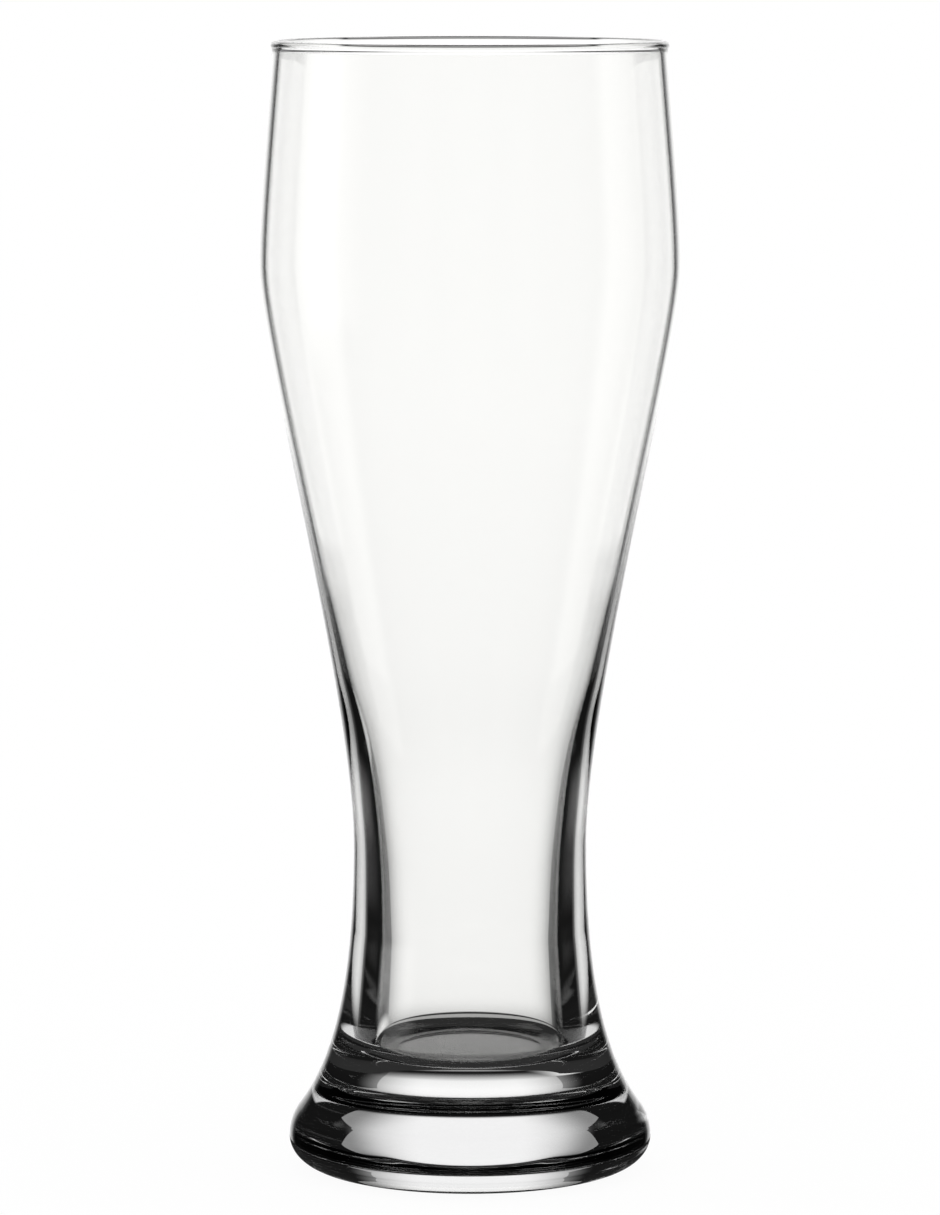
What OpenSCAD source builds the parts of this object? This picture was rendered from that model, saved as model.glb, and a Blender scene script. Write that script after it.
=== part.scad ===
// A tall wheat beer glass: a thin blown bowl that swells near the top, narrows to a thick waist
// and is fused to a heavy pressed foot. Both pieces are bodies of revolution about Z, and the
// origin is the middle of the foot on the table.

/* [Overall] */
// Height from the table to the top of the lip
height = 220; // [205:1:235]

/* [Lip] */
// Outer diameter of the wall just under the lip
rim_d = 76.2; // [72:0.2:80]
// Inward lean of the wall below the lip, in degrees
rim_lean = 4.5; // [3:0.1:6]
// Height over which the wall keeps that lean
rim_run = 15; // [8:0.5:20]
// Thickness of the wall at the lip
rim_wall = 1.4; // [1:0.1:1.8]
// Diameter of the fire-polished bead that ends the wall
lip_d = 2; // [1.8:0.1:2.6]

/* [Belly] */
// Outer diameter at the widest place
belly_d = 82; // [78:0.2:88]
// Depth of the widest place below the top of the lip
head_h = 43; // [38:0.5:50]
// Reach of the belly's round upwards, before it straightens towards the lip
belly_rise = 9.1; // [5:0.1:14]
// Reach of the belly's round downwards, before it straightens towards the waist
belly_fall = 13.8; // [8:0.1:20]
// Thickness of the wall at the widest place
belly_wall = 1.4; // [1.1:0.1:2]

/* [Waist] */
// Outer diameter at the narrowest place
waist_d = 45.4; // [42:0.2:50]
// Height of the narrowest place above the table
waist_z = 64.3; // [58:0.1:70]
// Reach of the waist's curve upwards
waist_rise = 27.2; // [20:0.1:34]
// Reach of the waist's curve downwards
waist_fall = 28.4; // [22:0.1:32]

/* [Hollow] */
// Height of the hollow's floor above the table
floor_z = 21.5; // [20:0.1:25]
// Diameter of the hollow where its floor turns up into the wall
floor_d = 37.6; // [33:0.2:40]
// Radius of the corner between the floor and the wall
corner_r = 3.7; // [2:0.1:6]
// Height of the hollow's narrowest place above the table
throat_z = 46.3; // [42:0.1:52]
// Thickness of the wall at the hollow's narrowest place
throat_wall = 6; // [4:0.1:9]
// Reach of the throat's curve upwards
throat_rise = 29.8; // [24:0.1:36]
// Reach of the throat's curve downwards
throat_fall = 6.8; // [4:0.1:14]
// Height at which the wall has thinned to the taper's thickness
taper_z = 97.7; // [92:0.1:104]
// Thickness of the wall at that height
taper_wall = 2.6; // [2:0.1:3.6]
// Outward lean of the hollow's wall at that height, in degrees
taper_lean = 12.8; // [11:0.1:16]
// Reach of the taper's curve upwards
taper_rise = 15.9; // [10:0.1:24]
// Reach of the taper's curve downwards
taper_fall = 15.3; // [8:0.1:18]

/* [Foot] */
// Diameter of the foot at its widest place
foot_d = 70.8; // [66:0.2:78]
// Height of that place above the table
foot_z = 6.4; // [5:0.1:8]
// Radius of the foot's rounded shoulder
shoulder_r = 9.4; // [7:0.1:12]
// Lean of the flare where it meets the shoulder, in degrees from upright
flare_lean = 37; // [25:0.5:42]
// Reach of the flare's curve up from the shoulder
flare_reach = 10.9; // [8:0.1:13]
// Height of the plane where the bowl is fused to the foot
joint_z = 18; // [16:0.1:19]
// Outer diameter of the flat ring that the foot stands on
ring_d = 53; // [48:0.2:58]
// Width of that ring
ring_w = 1.8; // [1:0.1:3]
// Reach of the underside's curve outwards from the ring
under_out = 4.4; // [2:0.1:6]
// Reach of the underside's curve down from the widest place
under_up = 4.1; // [2:0.1:5]
// Depth of the shallow hollow inside the ring
punt = 0.3; // [0.2:0.1:1.2]

/* [Hidden] */
$fn = 128;
glass = [0.86, 0.92, 0.92, 0.45];
foot_glass = [0.78, 0.88, 0.9, 0.6];

// Steps in each curve and in each rounded corner
curve_steps = 20;
corner_steps = 10;
// Share of the hollow's radius underneath over which its crown stays level, and over which its rim does
punt_share = 0.7;
// Overrun of the hollow above the lip, and of the cutting squares past the outline
overrun = lip_d;

belly_r = belly_d / 2;
waist_r = waist_d / 2;
foot_r = foot_d / 2;
ring_r = ring_d / 2;
ring_in_r = ring_r - ring_w;
rim_r = rim_d / 2;
rim_z = height - lip_d / 2;
belly_z = height - head_h;
belly_in_r = belly_r - belly_wall;
rim_in_r = rim_r - rim_wall;
corner_x = floor_d / 2 - corner_r;

// A point at a length from another one, leaning outwards by an angle from upright
function along(from, length, lean) = from + length * [sin(lean), cos(lean)];

// A cubic curve from a to d, without its last point, so that the next curve can start there
function curve(a, b, c, d) = [
    for (i = [0 : curve_steps - 1])
        let (t = i / curve_steps, s = 1 - t)
            s * s * s * a + 3 * s * s * t * b + 3 * s * t * t * c + t * t * t * d
];

// Part of a circle about a centre, between two angles, without its last point
function turn(centre, r, start, end) = [
    for (i = [0 : corner_steps - 1])
        let (a = start + (end - start) * i / corner_steps)
            centre + r * [cos(a), sin(a)]
];

// Where the flare leaves the shoulder
flare_at = [foot_r - shoulder_r, foot_z] + shoulder_r * [cos(flare_lean), sin(flare_lean)];

// The outside from the flare to the lip
side = concat(
    curve(flare_at, along(flare_at, flare_reach, -flare_lean),
        [waist_r, waist_z - waist_fall], [waist_r, waist_z]),
    curve([waist_r, waist_z], [waist_r, waist_z + waist_rise],
        [belly_r, belly_z - belly_fall], [belly_r, belly_z]),
    curve([belly_r, belly_z], [belly_r, belly_z + belly_rise],
        [rim_r + rim_run * tan(rim_lean), rim_z - rim_run], [rim_r, rim_z]),
    [[rim_r, rim_z]]
);

// The radius of the outside at a height above the shoulder
function side_r(z) = lookup(z, [for (p = side) [p.y, p.x]]);

throat_r = side_r(throat_z) - throat_wall;
taper_at = [side_r(taper_z) - taper_wall, taper_z];

// The whole glass without its hollow, from the punt round the ring and up the outside
outline = concat(
    curve([0, punt], [punt_share * ring_in_r, punt],
        [(1 - punt_share) * ring_in_r, 0], [ring_in_r, 0]),
    [[ring_in_r, 0]],
    curve([ring_r, 0], [ring_r + under_out, 0], [foot_r, foot_z - under_up], [foot_r, foot_z]),
    turn([foot_r - shoulder_r, foot_z], shoulder_r, 0, flare_lean),
    side,
    [[0, rim_z]]
);
cut_r = max([for (p = outline) p.x]) + overrun;

// The hollow, from its floor up the inside and out past the lip
hollow = concat(
    [[0, floor_z]],
    turn([corner_x, floor_z + corner_r], corner_r, -90, 0),
    curve([floor_d / 2, floor_z + corner_r], [floor_d / 2, floor_z + corner_r],
        [throat_r, throat_z - throat_fall], [throat_r, throat_z]),
    curve([throat_r, throat_z], [throat_r, throat_z + throat_rise],
        along(taper_at, -taper_fall, taper_lean), taper_at),
    curve(taper_at, along(taper_at, taper_rise, taper_lean),
        [belly_in_r, belly_z - belly_fall], [belly_in_r, belly_z]),
    curve([belly_in_r, belly_z], [belly_in_r, belly_z + belly_rise],
        [rim_in_r + rim_run * tan(rim_lean), rim_z - rim_run], [rim_in_r, rim_z]),
    [[rim_in_r, rim_z + overrun], [0, rim_z + overrun]]
);

// The blown bowl, with its own thick floor, its thin wall and the bead at the lip
module bowl() {
    color(glass)
        rotate_extrude() {
            difference() {
                intersection() {
                    polygon(outline);
                    translate([0, joint_z]) square([cut_r, height]);
                }
                polygon(hollow);
            }
            translate([rim_r - rim_wall / 2, rim_z]) circle(d = lip_d);
        }
}

// The pressed foot, solid glass up to the plane where the bowl is fused on
module foot() {
    color(foot_glass)
        rotate_extrude()
            intersection() {
                polygon(outline);
                square([cut_r, joint_z]);
            }
}

bowl();
foot();
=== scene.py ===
import math

import bpy
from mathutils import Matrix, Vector


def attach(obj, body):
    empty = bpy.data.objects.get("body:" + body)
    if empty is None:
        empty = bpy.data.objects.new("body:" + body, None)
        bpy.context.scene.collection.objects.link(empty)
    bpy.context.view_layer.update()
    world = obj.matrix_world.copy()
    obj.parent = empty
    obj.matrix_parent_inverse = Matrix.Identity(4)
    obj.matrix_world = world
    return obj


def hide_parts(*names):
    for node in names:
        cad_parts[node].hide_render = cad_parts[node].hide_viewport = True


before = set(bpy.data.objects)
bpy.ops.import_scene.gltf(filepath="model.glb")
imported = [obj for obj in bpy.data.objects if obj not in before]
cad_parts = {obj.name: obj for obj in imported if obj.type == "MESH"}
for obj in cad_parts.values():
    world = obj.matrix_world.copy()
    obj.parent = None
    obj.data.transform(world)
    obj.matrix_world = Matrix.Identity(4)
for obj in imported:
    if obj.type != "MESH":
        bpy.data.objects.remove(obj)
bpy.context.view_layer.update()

# The foot
# A heavy plug of clear soda-lime glass, pressed hot in a turned iron mould and then fire-polished, so
# that its shoulder, its rounded edge and its nearly flat underside run into each other without a line.
# The bowl is fused to its top while both are soft.
MM = 0.001

# Sizes in mm and degrees, as in the part's source
FOOT_R, FOOT_Z = 35.4, 6.4
SHOULDER_R, FLARE_LEAN, FLARE_REACH = 9.4, 37.0, 10.9
RING_R, RING_W = 26.5, 1.8
PUNT, PUNT_SHARE = 0.3, 0.7
UNDER_OUT, UNDER_UP = 4.4, 4.1
WAIST_R, WAIST_Z, WAIST_FALL = 22.7, 64.3, 28.4
JOINT_Z = 18.0

# Facets round the axis, and straight steps in each curve of the foot
SEGMENTS = 256
FOOT_STEPS = 60
# Circle that the profile is swept round, distance at which points are welded, angle of a sharp rim
SPINDLE = 1 * MM
WELD = 0.001 * MM
SHARP = math.radians(35)


def at(r, z):
    """A point of the profile, from the axis and the table, in mm."""
    return Vector((r, z))


def towards(degrees):
    """A length of 1 at an angle above level."""
    return Vector((math.cos(math.radians(degrees)), math.sin(math.radians(degrees))))


def lean(length, degrees):
    """A reach that leans outwards by an angle from upright."""
    return length * towards(90 - degrees)


def line(a, b):
    """A straight stretch, as a curve with its handles a third of the way in."""
    return [a, a.lerp(b, 1 / 3), a.lerp(b, 2 / 3), b]


def arc(centre, radius, start, end):
    """Part of a circle, of at most a quarter turn, as one curve."""
    reach = 4 / 3 * math.tan(math.radians(end - start) / 4) * radius
    first = centre + radius * towards(start)
    last = centre + radius * towards(end)
    return [first, first + reach * towards(start + 90), last - reach * towards(end + 90), last]


def cut(curve, height):
    """Cuts a rising curve at a height, by halving, into the part below and the part above."""
    low, high = 0.0, 1.0
    halvings = 50
    for _ in range(halvings):
        t = (low + high) / 2
        ab, bc, cd = (curve[i].lerp(curve[i + 1], t) for i in range(3))
        abc, bcd = ab.lerp(bc, t), bc.lerp(cd, t)
        middle = abc.lerp(bcd, t)
        low, high = (t, high) if middle.y < height else (low, t)
    return [curve[0], ab, abc, middle], [middle, bcd, cd, curve[3]]


def add(tree, kind, settings=None, **links):
    """Adds a node, sets its properties, and fills each input from a value or from another socket.

    An input goes by its name, with _ for a space, or by its number, as _0, _1 and so on.
    """
    node = tree.nodes.new(kind)
    for key, value in (settings or {}).items():
        setattr(node, key, value)
    for key, value in links.items():
        socket = node.inputs[int(key[1:]) if key.startswith("_") else key.replace("_", " ")]
        if isinstance(value, bpy.types.NodeSocket):
            tree.links.new(value, socket)
        else:
            socket.default_value = value
    return node


def lathe_tree():
    """Geometry Nodes that turn a half profile round Z.

    They sweep it, weld the poles, mark the sharp rims and set the glass and the fused joint.
    """
    tree = bpy.data.node_groups.new("turned on the axis", "GeometryNodeTree")
    sockets = {}
    for name, kind in (("Profile", "Geometry"), ("Segments", "Int"), ("Steps per curve", "Int"),
                       ("Spindle radius", "Float"), ("Weld distance", "Float"), ("Sharp angle", "Float"),
                       ("Joint height", "Float"), ("Glass", "Material"), ("Fused joint", "Material")):
        socket = tree.interface.new_socket(name, in_out="INPUT", socket_type="NodeSocket" + kind)
        sockets[name] = socket.identifier
    tree.interface.new_socket("Glass body", in_out="OUTPUT", socket_type="NodeSocketGeometry")
    given = add(tree, "NodeGroupInput").outputs

    # The sweep lays a profile upside down, so it is mirrored first, and set in by the spindle's radius.
    profile = add(tree, "GeometryNodeSetSplineResolution", Geometry=given["Profile"],
                  Resolution=given["Steps per curve"])
    inwards = add(tree, "ShaderNodeMath", {"operation": "MULTIPLY"}, _0=given["Spindle radius"], _1=-1.0)
    shift = add(tree, "ShaderNodeCombineXYZ", X=inwards.outputs[0])
    moved = add(tree, "GeometryNodeTransform", Geometry=profile.outputs[0], Translation=shift.outputs[0],
                Scale=(1, -1, 1))
    spindle = add(tree, "GeometryNodeCurvePrimitiveCircle", {"mode": "RADIUS"},
                  Resolution=given["Segments"], Radius=given["Spindle radius"])
    swept = add(tree, "GeometryNodeCurveToMesh", Curve=spindle.outputs[0], Profile_Curve=moved.outputs[0])
    welded = add(tree, "GeometryNodeMergeByDistance", Geometry=swept.outputs[0],
                 Distance=given["Weld distance"])
    outward = add(tree, "GeometryNodeFlipFaces", Mesh=welded.outputs[0])

    smooth = add(tree, "GeometryNodeSetShadeSmooth", {"domain": "FACE"}, Geometry=outward.outputs[0],
                 Shade_Smooth=True)
    angle = add(tree, "GeometryNodeInputMeshEdgeAngle")
    sharp = add(tree, "ShaderNodeMath", {"operation": "GREATER_THAN"}, _0=angle.outputs[0],
                _1=given["Sharp angle"])
    edged = add(tree, "GeometryNodeSetShadeSmooth", {"domain": "EDGE"}, Geometry=smooth.outputs[0],
                Selection=sharp.outputs[0], Shade_Smooth=False)

    real = add(tree, "GeometryNodeRealizeInstances", Geometry=edged.outputs[0])
    glass = add(tree, "GeometryNodeSetMaterial", Geometry=real.outputs[0], Material=given["Glass"])
    position = add(tree, "GeometryNodeInputPosition")
    place = add(tree, "ShaderNodeSeparateXYZ", Vector=position.outputs[0])
    on_joint = add(tree, "ShaderNodeMath", {"operation": "COMPARE"}, _0=place.outputs["Z"],
                   _1=given["Joint height"], _2=given["Weld distance"])
    joined = add(tree, "GeometryNodeSetMaterial", Geometry=glass.outputs[0],
                 Selection=on_joint.outputs[0], Material=given["Fused joint"])
    add(tree, "NodeGroupOutput", Glass_body=joined.outputs[0])
    return tree, sockets


LATHE, LATHE_SOCKETS = lathe_tree()


def turned(name, curves, steps, glass, joint):
    """A closed body of revolution, from curves that run from the axis round to the axis again."""
    outline = bpy.data.curves.new(name + " profile", "CURVE")
    outline.dimensions = "2D"
    outline.fill_mode = "NONE"
    spline = outline.splines.new("BEZIER")
    spline.bezier_points.add(len(curves))
    for i, knot in enumerate(spline.bezier_points):
        here = curves[i][0] if i < len(curves) else curves[-1][3]
        before = curves[i - 1][2] if i else here
        after = curves[i][1] if i < len(curves) else here
        knot.handle_left_type = knot.handle_right_type = "FREE"
        knot.co, knot.handle_left, knot.handle_right = ((p * MM).to_3d() for p in (here, before, after))
    blank = bpy.data.objects.new(name + "_profile", outline)
    bpy.context.collection.objects.link(blank)

    lathe = blank.modifiers.new("lathe", "NODES")
    lathe.node_group = LATHE
    for key, value in (("Segments", SEGMENTS), ("Steps per curve", steps), ("Spindle radius", SPINDLE),
                       ("Weld distance", WELD), ("Sharp angle", SHARP), ("Joint height", JOINT_Z * MM),
                       ("Glass", glass), ("Fused joint", joint)):
        lathe[LATHE_SOCKETS[key]] = value
    bpy.context.view_layer.update()
    finished = blank.evaluated_get(bpy.context.evaluated_depsgraph_get())
    mesh = bpy.data.meshes.new_from_object(finished)
    mesh.name = name
    bpy.data.objects.remove(blank)

    piece = bpy.data.objects.new(name, mesh)
    bpy.context.collection.objects.link(piece)
    return piece


def linear(hex_colour):
    """An sRGB hex colour as linear RGBA."""
    parts = (int(hex_colour[i:i + 2], 16) / 255 for i in (1, 3, 5))
    return (*(c / 12.92 if c <= 0.04045 else ((c + 0.055) / 1.055) ** 2.4 for c in parts), 1)


def clear_glass(name, tint, wave_mm, wave_depth_mm, along_axis):
    """Clear soda-lime glass of the usual index, with the faint waves that its making leaves in the surface.

    wave_mm is their length across the axis, and along it they are along_axis times as close.
    """
    material = bpy.data.materials.new(name)
    material.use_nodes = True
    tree = material.node_tree
    tree.nodes.clear()
    shader = add(tree, "ShaderNodeBsdfPrincipled", Base_Color=linear(tint), Roughness=0.0, IOR=1.52,
                 Transmission_Weight=1.0)
    coords = add(tree, "ShaderNodeTexCoord")
    stretch = add(tree, "ShaderNodeMapping", Vector=coords.outputs["Object"], Scale=(1, 1, along_axis))
    wave = add(tree, "ShaderNodeTexNoise", Vector=stretch.outputs[0], Scale=1 / (wave_mm * MM),
               Detail=1.0, Roughness=0.4)
    bump = add(tree, "ShaderNodeBump", Strength=1.0, Distance=wave_depth_mm * MM,
               Height=wave.outputs["Fac"])
    tree.links.new(bump.outputs[0], shader.inputs["Normal"])
    add(tree, "ShaderNodeOutputMaterial", Surface=shader.outputs[0])
    return material


def fused_joint():
    """Where two gobs are fused hot no surface is left, so light passes as if nothing was there."""
    material = bpy.data.materials.new("fused_glass_joint")
    material.use_nodes = True
    tree = material.node_tree
    tree.nodes.clear()
    through = add(tree, "ShaderNodeBsdfTransparent")
    add(tree, "ShaderNodeOutputMaterial", Surface=through.outputs[0])
    return material


flare_at = at(FOOT_R - SHOULDER_R, FOOT_Z) + SHOULDER_R * towards(FLARE_LEAN)
flare = [flare_at, flare_at + lean(FLARE_REACH, -FLARE_LEAN),
         at(WAIST_R, WAIST_Z - WAIST_FALL), at(WAIST_R, WAIST_Z)]
flare_below, flare_above = cut(flare, JOINT_Z)
ring_in = RING_R - RING_W
foot_curves = [
    [at(0, PUNT), at(PUNT_SHARE * ring_in, PUNT), at((1 - PUNT_SHARE) * ring_in, 0), at(ring_in, 0)],
    line(at(ring_in, 0), at(RING_R, 0)),
    [at(RING_R, 0), at(RING_R + UNDER_OUT, 0), at(FOOT_R, FOOT_Z - UNDER_UP), at(FOOT_R, FOOT_Z)],
    arc(at(FOOT_R - SHOULDER_R, FOOT_Z), SHOULDER_R, 0, FLARE_LEAN),
    flare_below,
    line(flare_below[3], at(0, JOINT_Z)),
]
# Thick glass: light that crosses it comes out a little greyer, and shallow waves left by the mould make
# its reflections waver.
pressed_glass = clear_glass("pressed_soda_lime_glass", tint="#EDEDED", wave_mm=18,
                            wave_depth_mm=0.0015, along_axis=1.5)
# The eye finds nothing at the joint: bowl and foot read as one glass.
joint_glass = fused_joint()
foot = turned("pressed_foot", foot_curves, FOOT_STEPS, pressed_glass, joint_glass)
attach(foot, "root")
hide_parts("foot")

# The bowl
# Clear soda-lime glass blown into a turned mould: a thick waist where the gob was gathered, a wall that
# thins to about 1.4 mm at the belly, and a lip that a flame has melted back into a small round bead.
HEIGHT = 220.0
RIM_R, RIM_LEAN, RIM_RUN, RIM_WALL = 38.1, 4.5, 15.0, 1.4
BELLY_R, BELLY_Z, BELLY_RISE, BELLY_FALL, BELLY_WALL = 41.0, 177.0, 9.1, 13.8, 1.4
WAIST_RISE = 27.2
FLOOR_Z, FLOOR_R, CORNER_R = 21.5, 18.8, 3.7
THROAT_Z, THROAT_WALL, THROAT_RISE, THROAT_FALL = 46.3, 6.0, 29.8, 6.8
TAPER_Z, TAPER_WALL, TAPER_LEAN, TAPER_RISE, TAPER_FALL = 97.7, 2.6, 12.8, 15.9, 15.3
# Radius of the bead, and height under its middle over which the flame has drawn it into the wall
LIP_R, NECK = 1.0, 1.0
# Reach of the neck's curve along the wall, and along the bead
NECK_WALL, NECK_BEAD = NECK / 2, NECK / 10
BOWL_STEPS = 26

rim_z = HEIGHT - LIP_R
flank = [at(WAIST_R, WAIST_Z), at(WAIST_R, WAIST_Z + WAIST_RISE),
         at(BELLY_R, BELLY_Z - BELLY_FALL), at(BELLY_R, BELLY_Z)]


def inner(curve, height, wall):
    """The hollow's point at a height, a wall's thickness in from the outside."""
    below, _above = cut(curve, height)
    return at(below[3].x - wall, height)


def shoulder(belly_r, rim_r):
    """One side of the wall, from the belly up to the neck of the bead."""
    under_rim = at(rim_r + RIM_RUN * math.tan(math.radians(RIM_LEAN)), rim_z - RIM_RUN)
    whole = [at(belly_r, BELLY_Z), at(belly_r, BELLY_Z + BELLY_RISE), under_rim, at(rim_r, rim_z)]
    below, _above = cut(whole, rim_z - NECK)
    return below


def neck(wall_end, bead_side):
    """One side of the blend from the end of the wall to the side of the bead."""
    return [wall_end, wall_end + lean(NECK_WALL, -RIM_LEAN), bead_side - at(0, NECK_BEAD), bead_side]


throat = inner(flare, THROAT_Z, THROAT_WALL)
taper = inner(flank, TAPER_Z, TAPER_WALL)
belly_in = at(BELLY_R - BELLY_WALL, BELLY_Z)
floor_edge = at(FLOOR_R, FLOOR_Z + CORNER_R)
lip_centre = at(RIM_R - RIM_WALL / 2, rim_z)
outside = shoulder(BELLY_R, RIM_R)
inside = shoulder(BELLY_R - BELLY_WALL, RIM_R - RIM_WALL)
up_inside = [
    line(at(0, FLOOR_Z), at(FLOOR_R - CORNER_R, FLOOR_Z)),
    arc(at(FLOOR_R - CORNER_R, FLOOR_Z + CORNER_R), CORNER_R, -90, 0),
    [floor_edge, floor_edge, throat - at(0, THROAT_FALL), throat],
    [throat, throat + at(0, THROAT_RISE), taper - lean(TAPER_FALL, TAPER_LEAN), taper],
    [taper, taper + lean(TAPER_RISE, TAPER_LEAN), belly_in - at(0, BELLY_FALL), belly_in],
    inside,
    neck(inside[3], lip_centre - at(LIP_R, 0)),
]
bowl_curves = [
    line(at(0, JOINT_Z), flare_above[0]),
    flare_above,
    flank,
    outside,
    neck(outside[3], lip_centre + at(LIP_R, 0)),
    arc(lip_centre, LIP_R, 0, 90),
    arc(lip_centre, LIP_R, 90, 180),
    *(curve[::-1] for curve in reversed(up_inside)),
]
# Thin glass with no colour of its own. Waves drawn out along the axis make the lines in it waver.
blown_glass = clear_glass("blown_soda_lime_glass", tint="#FFFFFE", wave_mm=22,
                          wave_depth_mm=0.002, along_axis=0.5)
bowl = turned("blown_bowl", bowl_curves, BOWL_STEPS, blown_glass, joint_glass)
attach(bowl, "root")
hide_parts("bowl")

# The world
# White for the camera. For rays that the glass has bent or thrown back it is black with soft white
# panels, because clear glass owes its dark outlines to black beside white.
world = bpy.data.worlds.new("studio")
bpy.context.scene.world = world
world.use_nodes = True
sky = world.node_tree
sky.nodes.clear()

# A bearing runs from straight behind the glass, as the camera sees it, towards +X. A climb is above level.
coords = add(sky, "ShaderNodeTexCoord")
way = add(sky, "ShaderNodeSeparateXYZ", Vector=coords.outputs["Generated"])
bearing = add(sky, "ShaderNodeMath", {"operation": "ARCTAN2"}, _0=way.outputs["X"],
              _1=way.outputs["Y"]).outputs[0]
climb = add(sky, "ShaderNodeMath", {"operation": "ARCSINE"}, _0=way.outputs["Z"]).outputs[0]

# In the world a ray's depth is one more than the surfaces that it has met. So a small odd depth is mostly
# a ray that went straight through one wall or two, and an even one was thrown back on its way.
# Few stands for rays that met no more than MOST_MET surfaces.
MOST_MET = 4
path = add(sky, "ShaderNodeLightPath")
depth = path.outputs["Ray Depth"]
few = add(sky, "ShaderNodeMath", {"operation": "LESS_THAN"}, _0=depth, _1=MOST_MET + 1.5).outputs[0]
odd = add(sky, "ShaderNodeMath", {"operation": "MODULO"}, _0=depth, _1=2.0).outputs[0]
straight = add(sky, "ShaderNodeMath", {"operation": "MULTIPLY"}, _0=few, _1=odd).outputs[0]
short = add(sky, "ShaderNodeMath", {"operation": "MULTIPLY"}, _0=few,
            _1=path.outputs["Is Transmission Ray"]).outputs[0]

# The first panel stands behind the glass, in front of a wall a quarter as bright that ends in a hard
# edge. The dim one low behind the glass draws the lines in the lip. The last three are what the glass
# shows from other sides, and light only rays that met few surfaces.
WALL = 0.26
PANELS = [
    # middle: its bearing. full, none: how far beside that it still has all its light, and has none.
    # low, full_low, full_high, high: the climbs at which it starts, is full, stops being full, and ends.
    # white, wall: the strength of the panel and of the wall behind it. rays: the rays that it lights.
    (0, 10, 32, -29, -18, 30, 38, 1 - WALL, WALL, 1.0),
    (0, 14, 28, -50, -46, -34, -30, 0.45, 0.0, 1.0),
    (-45, 14, 30, -64, -54, -22, -18.5, 1.1, 0.0, straight),
    (-90, 10, 32, -18, -12, 8, 14, 1.0, 0.0, short),
    (135, 10, 30, -30, -24, -2, 4, 1.0, 0.0, straight),
]
# Climbs between which the wall widens, and how far beside its middle it ends at each of them
WALL_CLIMB = (6, 20)
WALL_SIDE = (23.6, 35.6)
wall_edge = add(sky, "ShaderNodeMapRange", Value=climb,
                From_Min=math.radians(WALL_CLIMB[0]), From_Max=math.radians(WALL_CLIMB[1]),
                To_Min=math.radians(WALL_SIDE[0]), To_Max=math.radians(WALL_SIDE[1])).outputs[0]
glow = 0.0
for middle, full, none, low, full_low, full_high, high, white, wall, rays in PANELS:
    away = add(sky, "ShaderNodeMath", {"operation": "SUBTRACT"}, _0=bearing,
               _1=math.radians(middle)).outputs[0]
    turned_in = add(sky, "ShaderNodeMath", {"operation": "WRAP"}, _0=away, _1=math.pi,
                    _2=-math.pi).outputs[0]
    aside = add(sky, "ShaderNodeMath", {"operation": "ABSOLUTE"}, _0=turned_in).outputs[0]
    across = add(sky, "ShaderNodeMapRange", {"interpolation_type": "SMOOTHSTEP"}, Value=aside,
                 From_Min=math.radians(none), From_Max=math.radians(full), To_Max=white).outputs[0]
    within = add(sky, "ShaderNodeMath", {"operation": "LESS_THAN"}, _0=aside, _1=wall_edge).outputs[0]
    light = add(sky, "ShaderNodeMath", {"operation": "MULTIPLY_ADD"}, _0=within, _1=wall,
                _2=across).outputs[0]
    for start, end in ((low, full_low), (high, full_high)):
        upright = add(sky, "ShaderNodeMapRange", {"interpolation_type": "SMOOTHSTEP"}, Value=climb,
                      From_Min=math.radians(start), From_Max=math.radians(end)).outputs[0]
        light = add(sky, "ShaderNodeMath", {"operation": "MULTIPLY"}, _0=light, _1=upright).outputs[0]
    light = add(sky, "ShaderNodeMath", {"operation": "MULTIPLY"}, _0=light, _1=rays).outputs[0]
    glow = add(sky, "ShaderNodeMath", {"operation": "MAXIMUM"}, _0=glow, _1=light).outputs[0]

# The panels grow a little brighter upwards, which makes up for the light that each surface takes away.
LIFT_FROM, LIFT_TO, LIFT = -22, -5, 1.13
BLACK = 0.008
level = add(sky, "ShaderNodeMapRange", Value=climb, From_Min=math.radians(LIFT_FROM),
            From_Max=math.radians(LIFT_TO), To_Min=1.0, To_Max=LIFT)
lit = add(sky, "ShaderNodeMath", {"operation": "MULTIPLY_ADD"}, _0=glow, _1=level.outputs[0], _2=BLACK)
bent = add(sky, "ShaderNodeMath", {"operation": "MAXIMUM"}, _0=path.outputs["Is Glossy Ray"],
           _1=path.outputs["Is Transmission Ray"])
strength = add(sky, "ShaderNodeMix", {"data_type": "FLOAT"}, _0=bent.outputs[0], _2=1.0,
               _3=lit.outputs[0])
background = add(sky, "ShaderNodeBackground", Color=linear("#FFFFFF"), Strength=strength.outputs[0])
add(sky, "ShaderNodeOutputWorld", Surface=background.outputs[0])

# The floor
# A sheet of white paper that the glass stands on. The camera sees it almost wholly by its own light, so
# that it is white at every angle, and the rest takes the glass's shadow.
SHEET_R_METRES = 30
OWN_LIGHT = 0.95
CIRCLE_SIDES = 96
bpy.ops.mesh.primitive_circle_add(vertices=CIRCLE_SIDES, radius=SHEET_R_METRES, fill_type="NGON")
floor = bpy.context.object
floor.name = "studio_floor"
# The panels take its place for the glass
floor.visible_glossy = False
floor.visible_transmission = False
# Matt white paper, with no sheen of its own
paper = bpy.data.materials.new("white_paper_sweep")
paper.use_nodes = True
tree = paper.node_tree
tree.nodes.clear()
matt = add(tree, "ShaderNodeBsdfDiffuse", Color=linear("#FFFFFF"))
shining = add(tree, "ShaderNodeEmission", Color=linear("#FFFFFF"), Strength=1.0)
seen = add(tree, "ShaderNodeLightPath")
share = add(tree, "ShaderNodeMath", {"operation": "MULTIPLY"}, _0=seen.outputs["Is Camera Ray"],
            _1=OWN_LIGHT)
sweep = add(tree, "ShaderNodeMixShader", _0=share.outputs[0], _1=matt.outputs[0], _2=shining.outputs[0])
add(tree, "ShaderNodeOutputMaterial", Surface=sweep.outputs[0])
floor.data.materials.append(paper)

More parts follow.
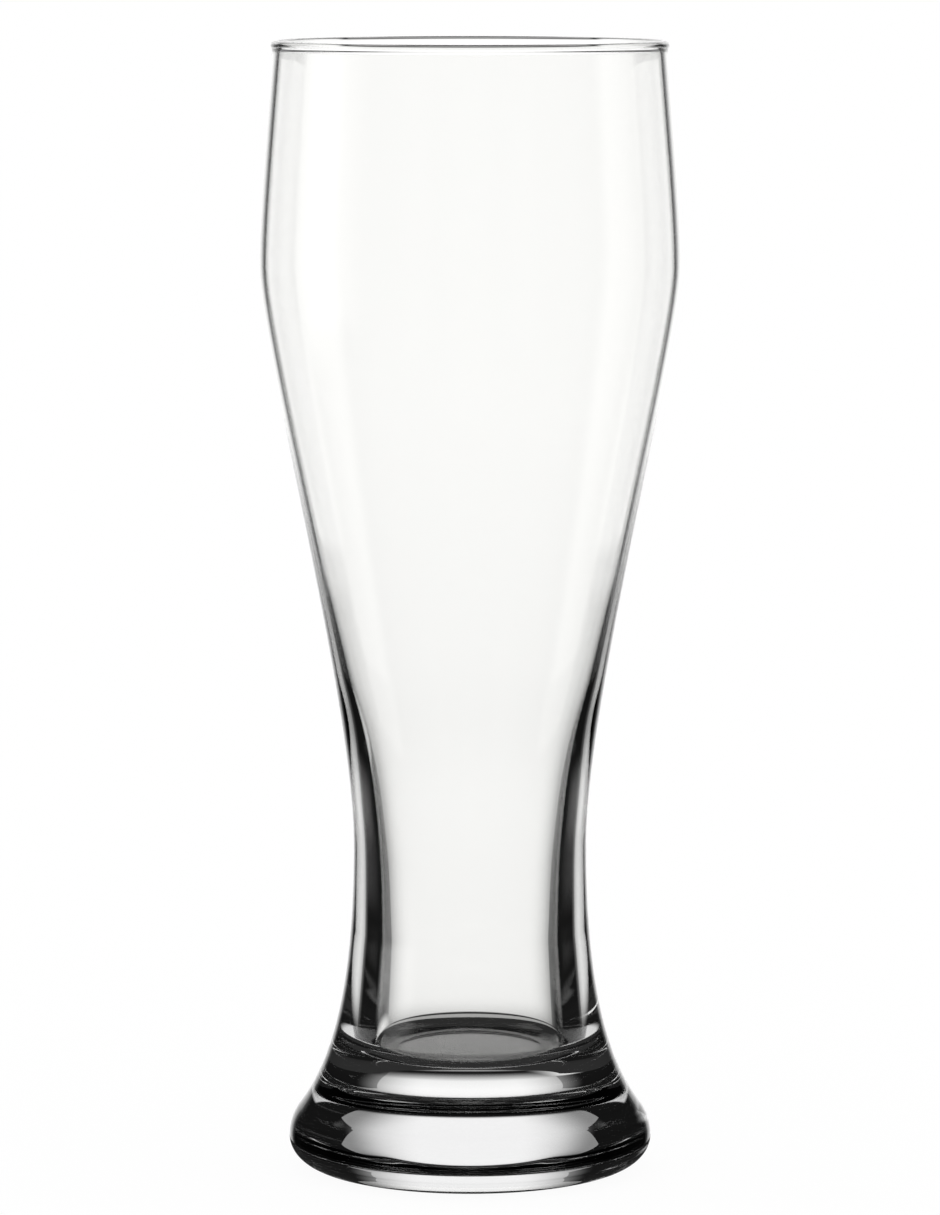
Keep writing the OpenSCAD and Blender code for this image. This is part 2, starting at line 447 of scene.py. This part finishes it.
# The cards
# Two sheets of tracing paper with a lamp behind them, one on each side of the bowl and seen only in the
# glass. They give its edges their soft grey, and fade out towards the front, the back and the bottom.
CARD_X, CARD_FRONT, CARD_BACK, CARD_LOW, CARD_HIGH = 125, 2, 120, 75, 222
# Each fade: its axis, where the card is clear, and where it is dense
FADES = (("Y", CARD_FRONT, 30), ("Y", CARD_BACK, 110), ("Z", CARD_LOW, 83))
OPACITY = 0.74
CARD_LIGHT = 1.15
# Tracing paper glows evenly and lets some of what is behind it through
tracing_paper = bpy.data.materials.new("tracing_paper_screen")
tracing_paper.use_nodes = True
tree = tracing_paper.node_tree
tree.nodes.clear()
coords = add(tree, "ShaderNodeTexCoord")
place = add(tree, "ShaderNodeSeparateXYZ", Vector=coords.outputs["Object"])
dense = OPACITY
for axis, gone, whole in FADES:
    rise = add(tree, "ShaderNodeMapRange", {"interpolation_type": "SMOOTHSTEP"}, Value=place.outputs[axis],
               From_Min=gone * MM, From_Max=whole * MM)
    dense = add(tree, "ShaderNodeMath", {"operation": "MULTIPLY"}, _0=dense, _1=rise.outputs[0]).outputs[0]
shine = add(tree, "ShaderNodeEmission", Color=linear("#FFFFFF"), Strength=CARD_LIGHT)
clear = add(tree, "ShaderNodeBsdfTransparent")
faded = add(tree, "ShaderNodeMixShader", _0=dense, _1=clear.outputs[0], _2=shine.outputs[0])
add(tree, "ShaderNodeOutputMaterial", Surface=faded.outputs[0])
CORNERS = ((CARD_FRONT, CARD_LOW), (CARD_BACK, CARD_LOW), (CARD_BACK, CARD_HIGH), (CARD_FRONT, CARD_HIGH))
for side in (-1, 1):
    sheet = bpy.data.meshes.new("white_card")
    points = [(side * CARD_X * MM, y * MM, z * MM) for y, z in CORNERS]
    sheet.from_pydata(points, [], [(0, 1, 2, 3)])
    sheet.materials.append(tracing_paper)
    card = bpy.data.objects.new("white_card", sheet)
    bpy.context.collection.objects.link(card)
    card.visible_camera = card.visible_diffuse = card.visible_shadow = False

# The shade under the foot
# A disc just under the table, seen only in the glass, that paints the shade under the foot: the foot takes
# the light away from the table beneath it, so what the foot shows from below is nearly black.
SHADE_R, SHADE_DROP, SHADE_LIGHT = 49, 0.2, 0.03
bpy.ops.mesh.primitive_circle_add(vertices=CIRCLE_SIDES, radius=SHADE_R * MM, fill_type="NGON",
                                  location=(0, 0, -SHADE_DROP * MM))
shade = bpy.context.object
shade.name = "shade_under_the_foot"
shade.visible_camera = shade.visible_diffuse = shade.visible_shadow = False
# Painted shade: white paper in the foot's shadow, drawn as a faint glow of fixed strength
painted_shade = bpy.data.materials.new("painted_shade_paper")
painted_shade.use_nodes = True
tree = painted_shade.node_tree
tree.nodes.clear()
dim = add(tree, "ShaderNodeEmission", Color=linear("#FFFFFF"), Strength=SHADE_LIGHT)
add(tree, "ShaderNodeOutputMaterial", Surface=dim.outputs[0])
shade.data.materials.append(painted_shade)

# The camera
# A long lens about 1.2 m from the glass, a little above its lip and tipped down.
CAMERA_Y, CAMERA_Z, TIPPED = -1.2019, 0.2473, 6.51
LENS_MM, SENSOR_MM, SEES_TO = 184.33, 36, 100
camera_data = bpy.data.cameras.new("camera")
camera_data.sensor_width = SENSOR_MM
camera_data.lens = LENS_MM
camera_data.clip_end = SEES_TO
camera = bpy.data.objects.new("camera", camera_data)
bpy.context.collection.objects.link(camera)
camera.location = (0, CAMERA_Y, CAMERA_Z)
camera.rotation_euler = (math.radians(90 - TIPPED), 0, 0)
scene = bpy.context.scene
scene.camera = camera
scene.view_settings.view_transform = "Standard"

# Light that is thrown about in the glass more often than this is lost, which keeps the foot's darks
BOUNCES = 9
SEE_THROUGH = 16
scene.cycles.max_bounces = BOUNCES
scene.cycles.transmission_bounces = BOUNCES
scene.cycles.glossy_bounces = BOUNCES
scene.cycles.transparent_max_bounces = SEE_THROUGH
